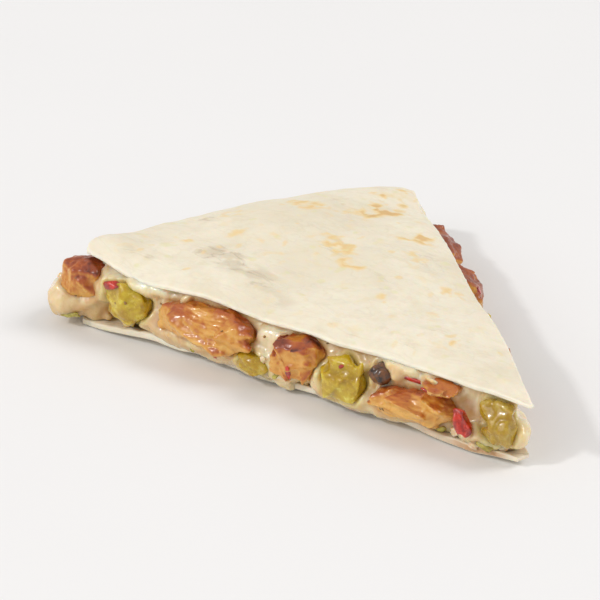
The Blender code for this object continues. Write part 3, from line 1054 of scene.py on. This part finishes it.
class Molten:
    """A body kept as a distance on a grid of points, negative inside."""

    def __init__(self, low, high):
        self.origin = np.array(low) * MM
        self.shape = tuple(np.ceil((np.array(high) * MM - self.origin) / STEP).astype(int))
        self.axes = [self.origin[k] + STEP * np.arange(self.shape[k]) for k in range(3)]
        self.grid = np.stack(np.meshgrid(*self.axes, indexing="ij"), -1)
        self.field = None
        self.uneven = Noise(35)

    def window(self, centre, reach):
        low = np.floor((centre - reach - self.origin) / STEP).astype(int)
        high = np.ceil((centre + reach - self.origin) / STEP).astype(int) + 1
        top = np.array(self.shape)
        return tuple(slice(a, b) for a, b in zip(np.clip(low, 0, top - 1), np.clip(high, 1, top)))

    def ellipsoid(self, distance, height, outward, *sizes, hollow=False):
        """Adds a rough lump, or takes one away."""
        centre = at_edge(distance, height, outward)
        window = self.window(centre, (max(sizes) + 3) * MM)
        _, tangent, normal = edge_place(distance * MM)
        q = (self.grid[window] - centre) @ np.array([tangent, normal, (0, 0, 1)]).T
        sizes = np.array(sizes) * MM
        k0 = np.linalg.norm(q / sizes, axis=-1)
        k1 = np.linalg.norm(q / (sizes * sizes), axis=-1)
        blob = k0 * (k0 - 1) / np.maximum(k1, 1e-6)
        uneven = self.uneven.layered(self.grid[window].reshape(-1, 3), 4.2 * MM, 2)
        blob = blob + (0.9 if hollow else 0.5) * MM * uneven.reshape(blob.shape)
        if hollow:
            self.field[window] = smooth_max(self.field[window], -blob, 0.9 * MM)
        else:
            self.field[window] = smooth_min(self.field[window], blob, 1.6 * MM)

    def strand(self, start, end, radius):
        """Adds a string that is thicker at its ends."""
        a, b = at_edge(*start), at_edge(*end)
        window = self.window((a + b) / 2, np.abs(b - a) / 2 + (radius + 2) * MM)
        p = self.grid[window] - a
        share = np.clip(p @ (b - a) / ((b - a) @ (b - a)), 0, 1)
        away = np.linalg.norm(p - share[..., None] * (b - a), axis=-1)
        thick = radius * MM * (0.75 + 0.9 * (2 * share - 1) ** 4)
        self.field[window] = smooth_min(self.field[window], away - thick, 0.9 * MM)

    def creep(self, obj, height):
        """Lets it climb a little way up a piece standing in it."""
        tree = piece_tree(obj)
        co = positions(obj.data) - np.array(APEX)
        low, high = co.min(0), co.max(0)
        window = self.window((low + high) / 2, (high - low) / 2 + 2.5 * MM)
        points = self.grid[window].reshape(-1, 3)
        field = self.field[window].reshape(-1)
        gap = np.full(len(points), CREEP_FAR)
        for k in np.flatnonzero(np.abs(field) < CREEP_NEAR):
            point = Vector(points[k]) + APEX
            found, normal, _, away = tree.find_nearest(point, 4 * MM)
            if found is not None:
                gap[k] = -away if (point - found).dot(normal) < 0 else away
        least = np.minimum(field, gap)
        fillet = least - smooth_min(field, gap, CREEP_WIDTH)
        self.field[window] = (field - height * fillet).reshape(self.field[window].shape)


def fill_layer(body):
    """Fills the space between the sheets, out to sagging sides and a blunt tip.

    Comes with the limits that keep what is added later from rising through the top sheet, sinking
    through the bottom one or touching the table.
    """
    x, y = body.grid[:, :, 0, 0], body.grid[:, :, 0, 1]
    z = body.axes[2][None, None, :]
    radius, angle = np.hypot(x, y), np.arctan2(y, -x)
    corner = RADIUS * np.minimum(np.abs(angle), np.abs(ANGLE - angle))
    near_rim = np.clip(radius / RADIUS, 0, 1) ** 12
    inward = edge_distances(x, y) - near_rim * CORNER_TRIM * eased(corner / CORNER_WIDTH)
    inward = inward[:, :, None]
    high, low = CEILING(x, y)[:, :, None], FLOOR(x, y)[:, :, None]
    share = (z - low) / (high - low)
    ripple, flat = Noise(31), flat_points(x.ravel(), y.ravel())
    slow = ripple.layered(flat, 11 * MM, 2).reshape(inward.shape)
    pleats = ripple.layered(flat + 5 * MM, 3.4 * MM, 2).reshape(inward.shape)
    profile = np.sin(np.pi * np.clip(share, 0, 1)) ** 0.8
    sag = (1.7 + 1.0 * slow) * ramp(0.42, 0.0, share)
    out = MM * ((0.9 + 1.1 * slow) * profile - 2.3 + sag + 0.2 * pleats * profile)
    blunt = MM * (2.8 - 0.9 * ramp(0.4, 1.0, share)) * ramp(11, 2, radius / MM)[:, :, None]
    lid = z - high - 0.15 * MM
    base = low - 0.25 * MM - z
    body.field = smooth_max(-(inward + out - blunt), np.maximum(lid, base), 1.2 * MM)
    over = inward + 0.3 * MM
    return np.minimum(lid, over), np.minimum(base, over), TABLE_GAP - z


def cheese_tones(mesh, shown):
    """Juice and green beside the pieces, painted light on the faces turned up, and painted brown shade at
    the foot.
    """
    co = positions(mesh)
    # Painted light: faces turned up get a higher value, which the material turns paler.
    paint(mesh, "upward", 0.5 + 0.5 * normals(mesh)[:, 2])
    surface = Noise(33)
    juice = 0.4 * ramp(0.1, 0.75, surface.layered(co + 2, 9 * MM, 2))
    patchy = ramp(-0.5, 0.4, surface.layered(co + 6, 3 * MM, 2))
    paint(mesh, "juice", np.maximum(juice, 0.75 * patchy * near(co, shown, "chicken")))
    paint(mesh, "green", 0.7 * near(co, shown, "chile"))
    # Painted shade: patchy brown in the lowest few millimetres of the cheese.
    toasted_and_shaded = ramp(0.1, 0.6, surface.layered(co + 3, 7 * MM, 2)) * ramp(2.6, 1.4, co[:, 2] / MM)
    paint(mesh, "browned", toasted_and_shaded)


def cheese(shown):
    """One molten mass between the sheets: it sags out of the sides and creeps up the pieces in it."""
    body = Molten(*CHEESE_BOX)
    limits = fill_layer(body)
    scattered = [*scattered_lumps(142, 224, 16, 51), *scattered_lumps(228, 348, 22, 52)]
    for lump in [*LUMPS, *clear_of(shown, scattered)]:
        body.ellipsoid(*lump)
    scattered = [*scattered_lumps(146, 212, 5, 61, True), *scattered_lumps(246, 345, 7, 62, True)]
    for hollow in [*HOLLOWS, *scattered]:
        body.ellipsoid(*hollow, hollow=True)
    for strand in STRANDS:
        body.strand(*strand)
    for obj in shown:
        body.creep(obj, CREEP_ON_CHICKEN if obj.name.startswith("chicken") else CREEP_ON_SOFT)
    for limit in limits:
        body.field = np.maximum(body.field, limit)
    net = surface_net(softened(body.field), STEP, body.origin)
    mesh = mesh_of("cheese_look", *largest_part(*net))
    relax(mesh, 3)
    co = positions(mesh)
    depth = edge_distances(co[:, 0], co[:, 1])
    surface = Noise(33)
    folds = surface.layered(co * np.array([1, 1, 0.4]), 3 * MM, 2)
    move = 0.34 * surface.layered(co, 3.6 * MM, 3) + 0.2 * folds
    co += normals(mesh) * (MM * move * ramp(6, 2, depth / MM))[:, None]
    set_positions(mesh, co)
    cheese_tones(mesh, shown)
    obj = place("cheese_look", mesh, MATERIALS["cheese"], "filling")
    hidden = obj.vertex_groups.new(name="hidden")
    hidden.add([int(k) for k in np.flatnonzero(depth > SEEN_DEPTH)], 1.0, "REPLACE")
    less = obj.modifiers.new("fewer faces out of sight", "DECIMATE")
    less.ratio = FACES_KEPT
    less.vertex_group = hidden.name
    return evaluated(obj)


def clear_of(shown, lumps):
    """The lumps that don't cover a piece."""
    trees = [piece_tree(obj) for obj in shown]
    kept = []
    for lump in lumps:
        centre = Vector(at_edge(*lump[:2], 1)) + APEX
        if all(tree.find_nearest(centre, LUMP_GAP)[0] is None for tree in trees):
            kept.append(lump)
    return kept


def near(co, shown, kind):
    """How close each point is to a piece of one kind: 1 against it, 0 at TONE_REACH or beyond."""
    found = np.zeros(len(co))
    for obj in shown:
        if not obj.name.startswith(kind):
            continue
        tree = piece_tree(obj)
        box = positions(obj.data) - np.array(APEX)
        low, high = box.min(0) - TONE_REACH, box.max(0) + TONE_REACH
        for k in np.flatnonzero(np.all((co > low) & (co < high), axis=1)):
            away = tree.find_nearest(Vector(co[k]) + APEX, TONE_REACH)[3]
            if away is not None:
                found[k] = max(found[k], 1 - away / TONE_REACH)
    return found


def largest_part(vertices, faces):
    """Drops crumbs that touch nothing: keeps the faces joined to the most others."""
    label = np.arange(len(vertices))
    a, b = faces.ravel(), np.roll(faces, -1, 1).ravel()
    while True:
        before = label.copy()
        np.minimum.at(label, a, label[b])
        np.minimum.at(label, b, label[a])
        label = label[label]
        if np.array_equal(before, label):
            break
    keep = label == np.bincount(label).argmax()
    number = np.cumsum(keep) - 1
    return vertices[keep], number[faces[keep[faces[:, 0]]]]


def piece_tree(obj):
    """A shown piece's faces for searches, in the frame's coordinates."""
    mesh = obj.data
    triangles = [tuple(p.vertices) for p in mesh.polygons]
    return BVHTree.FromPolygons([v.co for v in mesh.vertices], triangles)


# The small bits

# Distance round the edge, height, length, width and thickness in millimetres, and turn in degrees
RED_BITS = [
    (113.0, 14.3, 5.4, 2.4, 1.4, 20),
    (116.0, 6.8, 1.5, 1.1, 0.7, 0),
    (60.5, 7.4, 5.0, 1.3, 0.9, 80),
    (128.0, 15.0, 1.6, 1.0, 0.7, 40),
    (31.0, 12.9, 8.0, 1.0, 0.7, -4),
    (24.0, 12.2, 5.0, 1.1, 0.7, -10),
    (47.0, 12.6, 1.4, 0.9, 0.6, 30),
    (83.0, 4.0, 1.1, 0.8, 0.5, 0),
]
WHITE_BITS = [
    (31.0, 15.2, 7.0, 3.0, 2.2, 5),
    (75.5, 8.4, 2.6, 1.8, 1.4, 20),
    (69.0, 7.6, 2.2, 1.6, 1.2, 70),
    (19.5, 3.6, 3.0, 2.2, 1.8, 30),
    (14.0, 2.6, 2.6, 2.0, 1.6, -20),
    (38.5, 9.5, 4.5, 1.3, 1.0, 75),
    (127.0, 10.5, 3.0, 1.8, 1.4, 60),
    (7.5, 3.2, 2.4, 1.6, 1.3, 10),
]
GREEN_BITS = [
    (125.6, 3.8, 5.5, 1.8, 1.2, -10),
    (11.0, 3.4, 4.4, 1.6, 1.3, -15),
    (23.0, 3.0, 3.0, 1.4, 1.1, 30),
    (65.0, 5.0, 2.4, 1.2, 0.9, 60),
    (98.0, 15.6, 4.2, 1.4, 1.0, -10),
    (90.0, 3.6, 1.6, 1.0, 0.8, 0),
    (51.0, 5.2, 2.6, 1.2, 0.9, -40),
    (5.0, 7.4, 2.6, 1.6, 1.3, 50),
]
DARK_BITS = [
    (59.0, 2.6, 2.2, 1.4, 1.1, 10),
    (18.0, 1.8, 2.0, 1.2, 1.0, -10),
    (101.0, 11.5, 0.8, 0.5, 0.4, 0),
    (79.0, 12.6, 0.9, 0.5, 0.4, 60),
    (36.0, 5.8, 0.8, 0.6, 0.4, 0),
    (70.0, 12.2, 0.7, 0.5, 0.4, 30),
    (124.0, 9.0, 0.8, 0.5, 0.4, 0),
]
# How deep the middle of a bit lies, as a share of its thickness
BIT_SINK = 0.05
# A bit is a blend of a ball and a box, laid on from this far outside the edge
BALL_SHARE = 0.6
BOX_SHARE = 0.32
BIT_START_MM = 15
BIT_REACH = 24 * MM


def scattered_bits(count, seed, length, slim, start=140, end=346):
    """Bits strewn along the edge, in the form of the entries above."""
    rng = np.random.RandomState(seed)
    made = []
    for _ in range(count):
        size = rng.uniform(*length)
        width = size * rng.uniform(*slim)
        spot = rng.uniform(start, end), rng.uniform(3, 15)
        made.append((*spot, size, width, width * rng.uniform(0.55, 0.9), rng.uniform(-90, 90)))
    return made


def landing(distance, height, trees, anywhere):
    """Where a bit comes to lie on a side, and the way the surface faces there, if it lands at all."""
    _, _, normal = edge_place(distance * MM)
    start = Vector(at_edge(distance, height, BIT_START_MM)) + APEX
    hits = [tree.ray_cast(start, -normal, BIT_REACH) for tree in trees]
    onto_cheese = hits[-1][3] or 0
    hits = [hit for hit in hits if hit[0] is not None]
    if not hits:
        return None
    at, facing, _, away = min(hits, key=lambda hit: hit[3])
    if not anywhere and away < onto_cheese:
        return None
    return at - APEX, facing


def bits(name, material, entries, trees, seed, anywhere=True, ragged=0.45):
    """One mesh of small bits lying on the sides of the wedge, or on its cheese only."""
    rng = np.random.RandomState(seed)
    bm = bmesh.new()
    for k, (distance, height, length, width, thick, turn) in enumerate(entries):
        landed = landing(distance, height, trees, anywhere)
        if landed is None:
            continue
        spot, facing = landed
        if CEILING(np.array([spot.x]), np.array([spot.y]))[0] - spot.z < 0.4 * width * MM:
            continue
        _, tangent, normal = edge_place(distance * MM)
        facing = (facing + 0.6 * normal).normalized()
        along = tangent if distance * MM < FRONT_END else -tangent
        along = (along - facing * along.dot(facing)).normalized()
        along = Matrix.Rotation(math.radians(turn), 3, facing) @ along
        basis = Matrix((along, facing.cross(along), facing)).transposed()
        made = bmesh.ops.create_icosphere(bm, subdivisions=3, radius=1)["verts"]
        shape = Noise(seed + 3 * k)
        unit = np.array([v.co for v in made])
        boxy = unit / np.maximum(np.abs(unit).max(1), 1e-6)[:, None]
        unit = BALL_SHARE * unit + BOX_SHARE * boxy
        unit *= (1 + ragged * shape.layered(unit + k, 1.0, 2))[:, None]
        unit[:, 1] += rng.uniform(-0.25, 0.25) * (unit[:, 0] ** 2 - 0.4)
        size = np.array([length, width, thick]) / 2 * MM
        middle = np.array(spot - facing * BIT_SINK * thick * MM)
        co = middle + (unit * size) @ np.array(basis).T
        under_sheet(co, 0.5)
        for vertex, moved in zip(made, co):
            vertex.co = moved
    mesh = mesh_from(bm, name)
    mesh.shade_smooth()
    place(name, mesh, MATERIALS[material])


# The looks of each piece, and the pieces

MATERIALS = {
    "tortilla_top": tortilla_material("tortilla_top", 0.3),
    "tortilla_bottom": tortilla_material("tortilla_bottom", 1.0),
    "cheese": cheese_material(),
    "chicken": chicken_material(),
    "chile": chile_material(),
    "red": bit_material("red_pepper", (128, 12, 4), (216, 46, 10), 2.0, subsurface=0.0, coat=0.9),
    "charred": bit_material("charred", (34, 16, 8), (124, 76, 38), 1.3, (0.25, 0.5), 0.0, 0.5),
    "white": bit_material("onion", (222, 190, 148), (240, 220, 186), 1.6, subsurface=0.8, coat=0.9),
    "chile_bits": bit_material("chile_bits", (150, 134, 36), (206, 196, 88), 1.4, subsurface=0.7, coat=0.8),
    "herb": bit_material("herb", (116, 82, 38), (164, 124, 66), 0.8, (0.3, 0.6), 0.1, 0.3),
}

tortilla("tortilla_top", CEILING, (256, 144), 0, 3, top_relief, 1.2 * MM)
tortilla("tortilla_bottom", HeightMap(curl), (200, 110), BOTTOM_MARGIN, 1, bottom_relief, 3.4 * MM)
pieces = [
    chicken("chicken_front_corner", 101, (0.6, -0.3, 0.8), 0.7, proud=2.2),
    chicken("chicken_front_long", 102, (0.5, 0.1, 0.9), 0.45),
    chicken("chicken_front_middle", 103, (0.2, -0.4, 1), 0.78),
    chicken("chicken_front_inner", 104, (0, 0.1, 1), 0.5),
    chicken("chicken_front_roof", 110, (0.2, -0.2, 1), 0.35, count=12, lobes=1),
    chicken("chicken_rim_front", 105, (-0.5, 0, 1), 0.62, proud=0.4),
    chicken("chicken_rim_back", 106, (-0.6, 0, 1), 0.7, proud=0.4),
    chicken("chicken_back_outer", 107, (0.4, 0.4, 1), 0.55),
    chicken("chicken_back_middle", 108, (0.4, 0.4, 1), 0.58),
    chicken("chicken_back_inner", 109, (0.4, 0.4, 1), 0.5),
    soft_piece("chile_front_outer", 201, "chile"),
    # The small and tip chiles are painted browner: partly their own browning, partly painted shade.
    soft_piece("chile_front_small", 202, "chile", browned=0.35),
    soft_piece("chile_front_middle", 203, "chile"),
    soft_piece("chile_front_tip", 204, "chile", browned=0.5),
    soft_piece("chile_rim", 205, "chile"),
    soft_piece("chile_rim_back", 216, "chile", stretch=RIM_CHILE_LEAN),
    soft_piece("chile_back_outer", 207, "chile"),
    soft_piece("chile_back_inner", 208, "chile"),
    soft_piece("red_pepper_front", 209, "red", 1.04, 0.2, 14, 0.9, 1, PEPPER_LEAN, 0.8),
    soft_piece("charred_bit", 210, "charred", 1.0, 0.5, 16, 0.3, 1),
]
pieces.append(cheese(pieces))
TREES = [piece_tree(obj) for obj in pieces]
RED_BITS += scattered_bits(19, 71, (1.0, 4.2), (0.3, 0.6))
WHITE_BITS += scattered_bits(24, 72, (1.8, 4.6), (0.4, 0.8))
GREEN_BITS += scattered_bits(26, 73, (1.5, 4.6), (0.3, 0.6))
DARK_BITS += scattered_bits(22, 74, (0.5, 1.3), (0.4, 0.8))
DARK_BITS += scattered_bits(8, 75, (0.5, 0.9), (0.4, 0.8), 4, 138)
bits("red_bits", "red", RED_BITS, TREES, 301)
bits("white_bits", "white", WHITE_BITS, TREES, 401, anywhere=False, ragged=0.28)
bits("green_bits", "chile_bits", GREEN_BITS, TREES, 501, anywhere=False, ragged=0.3)
bits("dark_bits", "herb", DARK_BITS, TREES, 601)


# The stage

FLOOR_SIZE = 3
FLOOR_GAP = 0.05 * MM
FLOOR_MOTTLE_MM = 90
MIDDLE = (0, 0, 0.01)


def aimed(name, data, at, way):
    """Shows a light or camera that looks one way."""
    obj = shown_as(name, data)
    obj.location = at
    obj.rotation_mode = "QUATERNION"
    obj.rotation_quaternion = Vector(way).to_track_quat("-Z", "Y")
    return obj


def area_light(name, at, target, size, power, colour):
    data = bpy.data.lights.new(name, "AREA")
    data.shape = "DISK"
    data.size = size
    data.energy = power
    data.color = colour
    aimed(name, data, at, Vector(target) - Vector(at))


def stage():
    bm = bmesh.new()
    bmesh.ops.create_grid(bm, x_segments=1, y_segments=1, size=FLOOR_SIZE)
    floor = shown_as("floor", mesh_from(bm, "floor"))
    floor.location.z = -FLOOR_GAP
    sh = Shader("floor", Roughness=0.8, Specular_IOR_Level=0.1)
    sh.colour(sh.mix(sh.noise(FLOOR_MOTTLE_MM, 2), (236, 235, 235), (238, 237, 237)))
    floor.data.materials.append(sh.material)
    world = bpy.data.worlds.new("studio")
    world.use_nodes = True
    sky = world.node_tree.nodes["Background"].inputs
    sky["Color"].default_value = (1, 0.99, 0.975, 1)
    sky["Strength"].default_value = 0.6
    bpy.context.scene.world = world
    area_light("key", (2.2, 1.6, 3.1), (0, 0, 0), size=2.0, power=56, colour=(1, 0.99, 0.98))
    area_light("front", (-1.0, -2.6, 2.0), MIDDLE, size=2.2, power=19, colour=(1, 0.995, 0.985))
    area_light("sparkle", (-1.4, -2.2, 2.2), MIDDLE, size=0.3, power=28, colour=(1, 1, 1))
    bpy.context.scene.view_settings.view_transform = "Standard"


def camera(azimuth, elevation, target, distance, lens):
    a, e = math.radians(azimuth), math.radians(elevation)
    back = Vector((math.sin(a) * math.cos(e), -math.cos(a) * math.cos(e), math.sin(e)))
    data = bpy.data.cameras.new("camera")
    data.lens = lens
    data.clip_start = 0.01
    bpy.context.scene.camera = aimed("camera", data, Vector(target) + back * distance, -back)


stage()
camera(azimuth=36, elevation=25, target=(-0.013, -0.012, 0.007), distance=0.52, lens=130)
